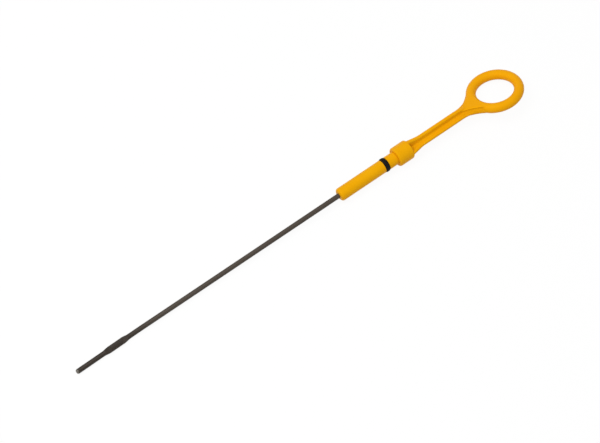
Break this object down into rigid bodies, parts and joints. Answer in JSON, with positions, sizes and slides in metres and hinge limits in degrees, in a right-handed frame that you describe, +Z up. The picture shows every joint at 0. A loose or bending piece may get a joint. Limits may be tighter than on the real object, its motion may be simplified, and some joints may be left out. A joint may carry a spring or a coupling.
{
  "type": "engine oil dipstick",
  "caption": "Engine oil dipstick: a dark steel rod with a flattened level zone, a plug barrel with a rubber seal, a stop collar and a ribbed stem that ends in a finger ring.",
  "frame": {"origin": "middle of the underside of the whole part, on the surface it lies on", "axes": "+X along the rod towards the finger ring, +Z up, with the part at rest on its side"},
  "size_m": [0.3878, 0.0408, 0.0185],
  "materials": {
    "handle_plastic": "semi-gloss moulded yellow plastic",
    "seal_rubber": "matt black rubber",
    "rod_steel": "dark phosphated steel with a fine drawn grain"
  },
  "bodies": {
    "root": {"handle": "handle_plastic", "seal_ring": "seal_rubber", "gauge_rod": "rod_steel"}
  },
  "joints": []
}
